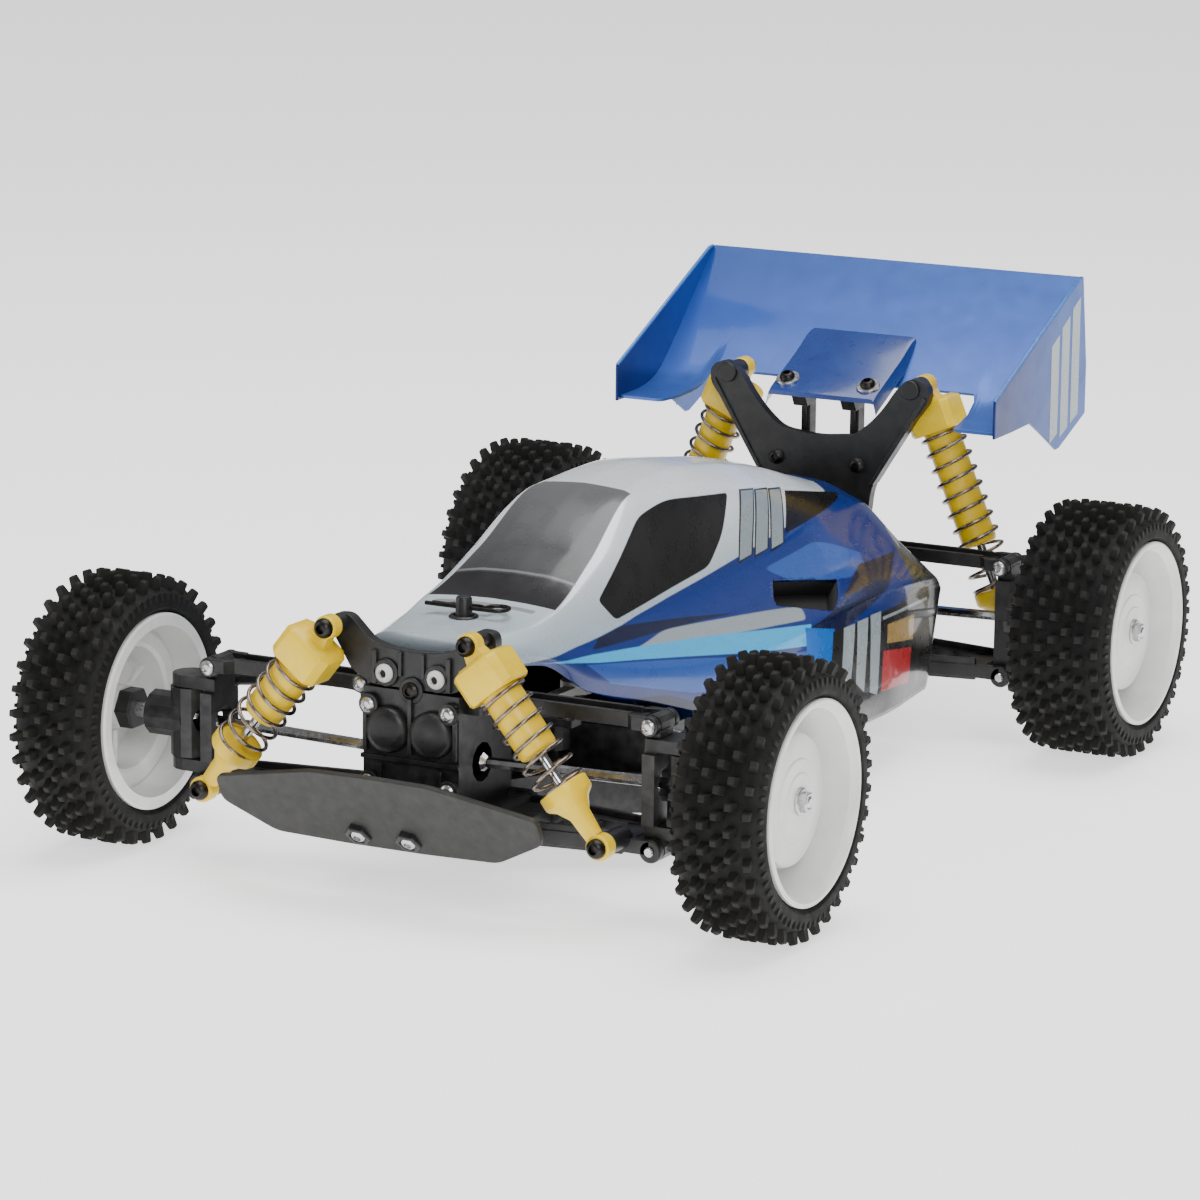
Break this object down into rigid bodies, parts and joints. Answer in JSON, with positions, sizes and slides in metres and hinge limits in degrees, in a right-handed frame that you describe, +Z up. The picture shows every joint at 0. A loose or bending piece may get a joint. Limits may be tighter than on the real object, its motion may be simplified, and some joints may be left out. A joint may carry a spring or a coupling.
{
  "type": "rc buggy",
  "caption": "1/10 scale four-wheel-drive off-road buggy with spiked tyres, double-wishbone arms, coil-over dampers, lift-off body and rear wing.",
  "frame": {"origin": "on the ground, under the middle of the buggy", "axes": "+Z up, the nose points to -Y, the buggy's left side is +X"},
  "size_m": [0.249, 0.3614, 0.1465],
  "materials": {
    "black_plastic": "moulded black plastic",
    "grey_plastic": "smooth dark grey plastic",
    "tyre_rubber": "soft black rubber",
    "white_plastic": "white plastic, satin",
    "yellow_plastic": "yellow plastic, satin",
    "steel": "turned steel",
    "shell_paint": "painted clear sheet, glossy",
    "wing_paint": "painted clear sheet, glossy",
    "pack_sleeve": "shrink sleeve"
  },
  "bodies": {
    "chassis": {"chassis_tub": "black_plastic", "front_gearbox": "black_plastic", "rear_gearbox": "black_plastic", "front_shock_tower": "black_plastic", "rear_shock_tower": "black_plastic", "front_bumper": "grey_plastic", "motor": "steel", "battery_pack": "pack_sleeve", "speed_controller": "black_plastic", "receiver": "black_plastic", "steering_servo": "black_plastic", "wing_stay": "black_plastic", "rear_wing": "wing_paint"},
    "body_shell": {"body_shell": "shell_paint"},
    "propeller_shaft": {"propeller_shaft": "steel"},
    "motor_pinion": {"motor_pinion": "steel"},
    "servo_horn": {"servo_horn": "white_plastic"},
    "steering_link": {"steering_link": "black_plastic"},
    "bellcrank_left": {"bellcrank_left": "black_plastic"},
    "bellcrank_right": {"bellcrank_right": "black_plastic"},
    "front_left_lower_arm": {"front_left_lower_arm": "black_plastic"},
    "front_left_upper_arm": {"front_left_upper_arm": "black_plastic"},
    "front_left_hub_carrier": {"front_left_hub_carrier": "black_plastic"},
    "front_left_shock_body": {"front_left_shock_body": "yellow_plastic", "front_left_shock_spring": "steel"},
    "front_left_shock_rod": {"front_left_shock_rod": "yellow_plastic"},
    "front_left_steering_knuckle": {"front_left_steering_knuckle": "black_plastic"},
    "tie_rod_left": {"tie_rod_left": "black_plastic"},
    "front_left_wheel": {"front_left_wheel_rim": "white_plastic", "front_left_tyre": "tyre_rubber"},
    "front_left_drive_shaft": {"front_left_drive_shaft": "steel"},
    "front_right_lower_arm": {"front_right_lower_arm": "black_plastic"},
    "front_right_upper_arm": {"front_right_upper_arm": "black_plastic"},
    "front_right_hub_carrier": {"front_right_hub_carrier": "black_plastic"},
    "front_right_shock_body": {"front_right_shock_body": "yellow_plastic", "front_right_shock_spring": "steel"},
    "front_right_shock_rod": {"front_right_shock_rod": "yellow_plastic"},
    "front_right_steering_knuckle": {"front_right_steering_knuckle": "black_plastic"},
    "tie_rod_right": {"tie_rod_right": "black_plastic"},
    "front_right_wheel": {"front_right_wheel_rim": "white_plastic", "front_right_tyre": "tyre_rubber"},
    "front_right_drive_shaft": {"front_right_drive_shaft": "steel"},
    "rear_left_lower_arm": {"rear_left_lower_arm": "black_plastic"},
    "rear_left_upper_arm": {"rear_left_upper_arm": "black_plastic"},
    "rear_left_hub_carrier": {"rear_left_hub_carrier": "black_plastic"},
    "rear_left_shock_body": {"rear_left_shock_body": "yellow_plastic", "rear_left_shock_spring": "steel"},
    "rear_left_shock_rod": {"rear_left_shock_rod": "yellow_plastic"},
    "rear_left_wheel": {"rear_left_wheel_rim": "white_plastic", "rear_left_tyre": "tyre_rubber"},
    "rear_left_drive_shaft": {"rear_left_drive_shaft": "steel"},
    "rear_right_lower_arm": {"rear_right_lower_arm": "black_plastic"},
    "rear_right_upper_arm": {"rear_right_upper_arm": "black_plastic"},
    "rear_right_hub_carrier": {"rear_right_hub_carrier": "black_plastic"},
    "rear_right_shock_body": {"rear_right_shock_body": "yellow_plastic", "rear_right_shock_spring": "steel"},
    "rear_right_shock_rod": {"rear_right_shock_rod": "yellow_plastic"},
    "rear_right_wheel": {"rear_right_wheel_rim": "white_plastic", "rear_right_tyre": "tyre_rubber"},
    "rear_right_drive_shaft": {"rear_right_drive_shaft": "steel"}
  },
  "joints": [
    {"name": "body_lift", "type": "slide", "parent": "chassis", "child": "body_shell", "axis": [0, 0, 1], "range_m": [0, 0.06]},
    {"name": "propeller_spin", "type": "hinge", "parent": "chassis", "child": "propeller_shaft", "pos_m": [0, -0.01425, 0.04], "axis": [0, 1, 0], "continuous": true},
    {"name": "pinion_spin", "type": "hinge", "parent": "chassis", "child": "motor_pinion", "pos_m": [-0.02756, 0.08675, 0.0385], "axis": [0, 1, 0], "continuous": true},
    {"name": "steering", "type": "hinge", "parent": "chassis", "child": "servo_horn", "pos_m": [0.016, -0.08125, 0.05], "axis": [0, 0, 1], "range_deg": [-12, 12]},
    {"name": "link_slide", "type": "slide", "parent": "chassis", "child": "steering_link", "axis": [1, 0, 0], "range_m": [-0.0063, 0.0063]},
    {"name": "bellcrank_left_turn", "type": "hinge", "parent": "chassis", "child": "bellcrank_left", "pos_m": [0.016, -0.09525, 0.043], "axis": [0, 0, 1], "range_deg": [-24.6, 24.6]},
    {"name": "bellcrank_right_turn", "type": "hinge", "parent": "chassis", "child": "bellcrank_right", "pos_m": [-0.016, -0.09525, 0.043], "axis": [0, 0, 1], "range_deg": [-24.6, 24.6]},
    {"name": "front_left_suspension", "type": "hinge", "parent": "chassis", "child": "front_left_lower_arm", "pos_m": [0.022, -0.13925, 0.025], "axis": [0, -1, 0], "range_deg": [-6, 12], "stiffness_Nm_per_rad": 1.6, "springref_deg": -7.16},
    {"name": "front_left_upper_arm_swing", "type": "hinge", "parent": "chassis", "child": "front_left_upper_arm", "pos_m": [0.02, -0.13925, 0.061], "axis": [0, -1, 0], "range_deg": [-7, 13]},
    {"name": "front_left_hub_pivot", "type": "hinge", "parent": "front_left_lower_arm", "child": "front_left_hub_carrier", "pos_m": [0.076, -0.13925, 0.023], "axis": [0, -1, 0], "range_deg": [-13, 7]},
    {"name": "front_left_shock_swing", "type": "hinge", "parent": "chassis", "child": "front_left_shock_body", "pos_m": [0.0236, -0.16025, 0.08], "axis": [0, -1, 0], "range_deg": [-5.6, 5.6]},
    {"name": "front_left_shock_stroke", "type": "slide", "parent": "front_left_shock_body", "child": "front_left_shock_rod", "axis": [-0.622, 0, 0.783], "range_m": [-0.00422, 0.00804], "deforming": ["front_left_shock_spring"]},
    {"name": "front_left_kingpin", "type": "hinge", "parent": "front_left_hub_carrier", "child": "front_left_steering_knuckle", "pos_m": [0.084, -0.13925, 0.0415], "axis": [0, 0, 1], "range_deg": [-19.1, 19.1]},
    {"name": "tie_rod_left_swing", "type": "hinge", "parent": "steering_link", "child": "tie_rod_left", "pos_m": [0.028, -0.10925, 0.052], "axis": [0, -1, 0], "range_deg": [-7, 13]},
    {"name": "front_left_wheel_spin", "type": "hinge", "parent": "front_left_steering_knuckle", "child": "front_left_wheel", "pos_m": [0.1, -0.13925, 0.0415], "axis": [1, 0, 0], "continuous": true},
    {"name": "front_left_drive_shaft_spin", "type": "hinge", "parent": "front_left_lower_arm", "child": "front_left_drive_shaft", "pos_m": [0.015, -0.13925, 0.04], "axis": [0.9998, 0, 0.0217], "continuous": true},
    {"name": "front_right_suspension", "type": "hinge", "parent": "chassis", "child": "front_right_lower_arm", "pos_m": [-0.022, -0.13925, 0.025], "axis": [0, 1, 0], "range_deg": [-6, 12], "stiffness_Nm_per_rad": 1.6, "springref_deg": -7.16},
    {"name": "front_right_upper_arm_swing", "type": "hinge", "parent": "chassis", "child": "front_right_upper_arm", "pos_m": [-0.02, -0.13925, 0.061], "axis": [0, 1, 0], "range_deg": [-7, 13]},
    {"name": "front_right_hub_pivot", "type": "hinge", "parent": "front_right_lower_arm", "child": "front_right_hub_carrier", "pos_m": [-0.076, -0.13925, 0.023], "axis": [0, 1, 0], "range_deg": [-13, 7]},
    {"name": "front_right_shock_swing", "type": "hinge", "parent": "chassis", "child": "front_right_shock_body", "pos_m": [-0.0236, -0.16025, 0.08], "axis": [0, 1, 0], "range_deg": [-5.6, 5.6]},
    {"name": "front_right_shock_stroke", "type": "slide", "parent": "front_right_shock_body", "child": "front_right_shock_rod", "axis": [0.622, 0, 0.783], "range_m": [-0.00422, 0.00804], "deforming": ["front_right_shock_spring"]},
    {"name": "front_right_kingpin", "type": "hinge", "parent": "front_right_hub_carrier", "child": "front_right_steering_knuckle", "pos_m": [-0.084, -0.13925, 0.0415], "axis": [0, 0, 1], "range_deg": [-19.1, 19.1]},
    {"name": "tie_rod_right_swing", "type": "hinge", "parent": "steering_link", "child": "tie_rod_right", "pos_m": [-0.028, -0.10925, 0.052], "axis": [0, 1, 0], "range_deg": [-7, 13]},
    {"name": "front_right_wheel_spin", "type": "hinge", "parent": "front_right_steering_knuckle", "child": "front_right_wheel", "pos_m": [-0.1, -0.13925, 0.0415], "axis": [1, 0, 0], "continuous": true},
    {"name": "front_right_drive_shaft_spin", "type": "hinge", "parent": "front_right_lower_arm", "child": "front_right_drive_shaft", "pos_m": [-0.015, -0.13925, 0.04], "axis": [0.9998, 0, -0.0217], "continuous": true},
    {"name": "rear_left_suspension", "type": "hinge", "parent": "chassis", "child": "rear_left_lower_arm", "pos_m": [0.022, 0.11375, 0.025], "axis": [0, -1, 0], "range_deg": [-6, 12], "stiffness_Nm_per_rad": 2, "springref_deg": -7.16},
    {"name": "rear_left_upper_arm_swing", "type": "hinge", "parent": "chassis", "child": "rear_left_upper_arm", "pos_m": [0.02, 0.11375, 0.061], "axis": [0, -1, 0], "range_deg": [-7, 13]},
    {"name": "rear_left_hub_pivot", "type": "hinge", "parent": "rear_left_lower_arm", "child": "rear_left_hub_carrier", "pos_m": [0.074, 0.11375, 0.023], "axis": [0, -1, 0], "range_deg": [-13, 7]},
    {"name": "rear_left_shock_swing", "type": "hinge", "parent": "chassis", "child": "rear_left_shock_body", "pos_m": [0.0337, 0.12925, 0.113], "axis": [0, -1, 0], "range_deg": [-2.7, 2.7]},
    {"name": "rear_left_shock_stroke", "type": "slide", "parent": "rear_left_shock_body", "child": "rear_left_shock_rod", "axis": [-0.3835, 0, 0.9235], "range_m": [-0.00514, 0.00988], "deforming": ["rear_left_shock_spring"]},
    {"name": "rear_left_wheel_spin", "type": "hinge", "parent": "rear_left_hub_carrier", "child": "rear_left_wheel", "pos_m": [0.1, 0.11375, 0.0415], "axis": [1, 0, 0], "continuous": true},
    {"name": "rear_left_drive_shaft_spin", "type": "hinge", "parent": "rear_left_lower_arm", "child": "rear_left_drive_shaft", "pos_m": [0.015, 0.11375, 0.04], "axis": [0.9997, 0, 0.0234], "continuous": true},
    {"name": "rear_right_suspension", "type": "hinge", "parent": "chassis", "child": "rear_right_lower_arm", "pos_m": [-0.022, 0.11375, 0.025], "axis": [0, 1, 0], "range_deg": [-6, 12], "stiffness_Nm_per_rad": 2, "springref_deg": -7.16},
    {"name": "rear_right_upper_arm_swing", "type": "hinge", "parent": "chassis", "child": "rear_right_upper_arm", "pos_m": [-0.02, 0.11375, 0.061], "axis": [0, 1, 0], "range_deg": [-7, 13]},
    {"name": "rear_right_hub_pivot", "type": "hinge", "parent": "rear_right_lower_arm", "child": "rear_right_hub_carrier", "pos_m": [-0.074, 0.11375, 0.023], "axis": [0, 1, 0], "range_deg": [-13, 7]},
    {"name": "rear_right_shock_swing", "type": "hinge", "parent": "chassis", "child": "rear_right_shock_body", "pos_m": [-0.0337, 0.12925, 0.113], "axis": [0, 1, 0], "range_deg": [-2.7, 2.7]},
    {"name": "rear_right_shock_stroke", "type": "slide", "parent": "rear_right_shock_body", "child": "rear_right_shock_rod", "axis": [0.3835, 0, 0.9235], "range_m": [-0.00514, 0.00988], "deforming": ["rear_right_shock_spring"]},
    {"name": "rear_right_wheel_spin", "type": "hinge", "parent": "rear_right_hub_carrier", "child": "rear_right_wheel", "pos_m": [-0.1, 0.11375, 0.0415], "axis": [1, 0, 0], "continuous": true},
    {"name": "rear_right_drive_shaft_spin", "type": "hinge", "parent": "rear_right_lower_arm", "child": "rear_right_drive_shaft", "pos_m": [-0.015, 0.11375, 0.04], "axis": [0.9997, 0, -0.0234], "continuous": true}
  ],
  "couplings": [
    {"joint": "pinion_spin", "follows": "propeller_spin", "ratio": -3.1818},
    {"joint": "link_slide", "follows": "steering", "m_per_rad": 0.027875},
    {"joint": "bellcrank_left_turn", "follows": "steering", "ratio": 2.0285},
    {"joint": "bellcrank_right_turn", "follows": "steering", "ratio": 2.0285},
    {"joint": "front_left_upper_arm_swing", "follows": "front_left_suspension", "ratio": 1},
    {"joint": "front_left_hub_pivot", "follows": "front_left_suspension", "ratio": -1},
    {"joint": "front_left_shock_swing", "follows": "front_left_suspension", "ratio": 0.38157},
    {"joint": "front_left_shock_stroke", "follows": "front_left_suspension", "m_per_rad": 0.036498},
    {"joint": "front_left_kingpin", "follows": "steering", "ratio": -1.5665},
    {"joint": "tie_rod_left_swing", "follows": "front_left_suspension", "ratio": 1},
    {"joint": "front_left_drive_shaft_spin", "follows": "front_left_wheel_spin", "ratio": 1},
    {"joint": "front_right_upper_arm_swing", "follows": "front_right_suspension", "ratio": 1},
    {"joint": "front_right_hub_pivot", "follows": "front_right_suspension", "ratio": -1},
    {"joint": "front_right_shock_swing", "follows": "front_right_suspension", "ratio": 0.38157},
    {"joint": "front_right_shock_stroke", "follows": "front_right_suspension", "m_per_rad": 0.036498},
    {"joint": "front_right_kingpin", "follows": "steering", "ratio": -1.5665},
    {"joint": "tie_rod_right_swing", "follows": "front_right_suspension", "ratio": 1},
    {"joint": "front_right_drive_shaft_spin", "follows": "front_right_wheel_spin", "ratio": 1},
    {"joint": "rear_left_upper_arm_swing", "follows": "rear_left_suspension", "ratio": 1},
    {"joint": "rear_left_hub_pivot", "follows": "rear_left_suspension", "ratio": -1},
    {"joint": "rear_left_shock_swing", "follows": "rear_left_suspension", "ratio": 0.14205},
    {"joint": "rear_left_shock_stroke", "follows": "rear_left_suspension", "m_per_rad": 0.045278},
    {"joint": "rear_left_drive_shaft_spin", "follows": "rear_left_wheel_spin", "ratio": 1},
    {"joint": "rear_right_upper_arm_swing", "follows": "rear_right_suspension", "ratio": 1},
    {"joint": "rear_right_hub_pivot", "follows": "rear_right_suspension", "ratio": -1},
    {"joint": "rear_right_shock_swing", "follows": "rear_right_suspension", "ratio": 0.14205},
    {"joint": "rear_right_shock_stroke", "follows": "rear_right_suspension", "m_per_rad": 0.045278},
    {"joint": "rear_right_drive_shaft_spin", "follows": "rear_right_wheel_spin", "ratio": 1}
  ]
}
